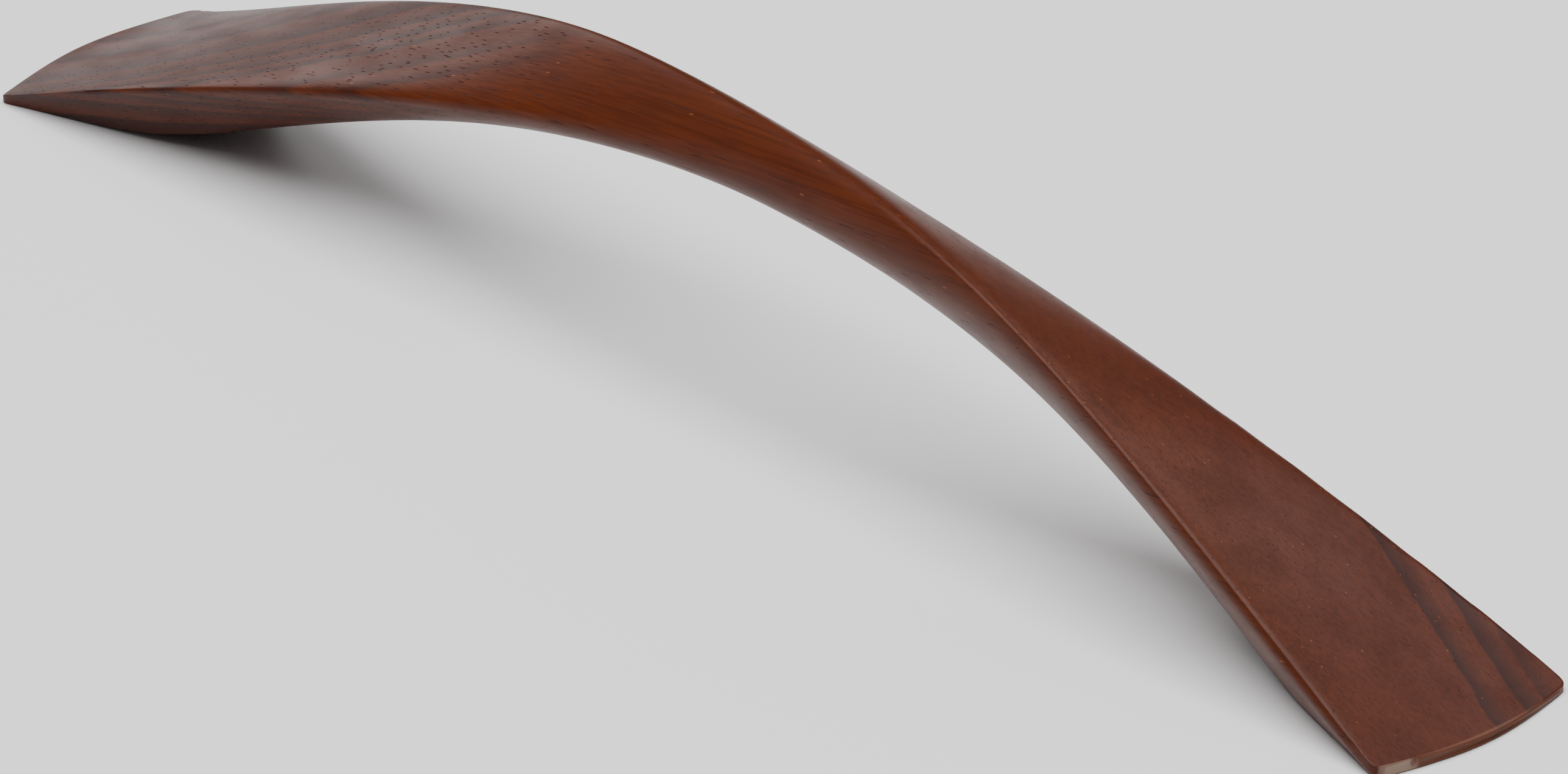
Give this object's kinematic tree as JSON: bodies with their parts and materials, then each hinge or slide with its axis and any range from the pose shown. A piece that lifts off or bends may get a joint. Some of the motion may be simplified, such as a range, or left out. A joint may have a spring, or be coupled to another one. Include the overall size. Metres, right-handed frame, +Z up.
{
  "type": "twisted wooden bow pull handle",
  "caption": "Arched bow pull carved from solid walnut, its broad thin feet twisting into an upright oval grip, with threaded inserts in the feet.",
  "frame": {"origin": "middle of the footprint, on the plane that both feet stand on", "axes": "+X along the pull, +Y across it, +Z up from the furniture towards the grip"},
  "size_m": [0.228, 0.03, 0.0339],
  "materials": {
    "walnut": "satin lacquer over open-pored walnut",
    "insert_brass": "turned and knurled"
  },
  "bodies": {
    "root": {"carved_bow": "walnut", "threaded_insert_left": "insert_brass", "threaded_insert_right": "insert_brass"}
  },
  "joints": []
}
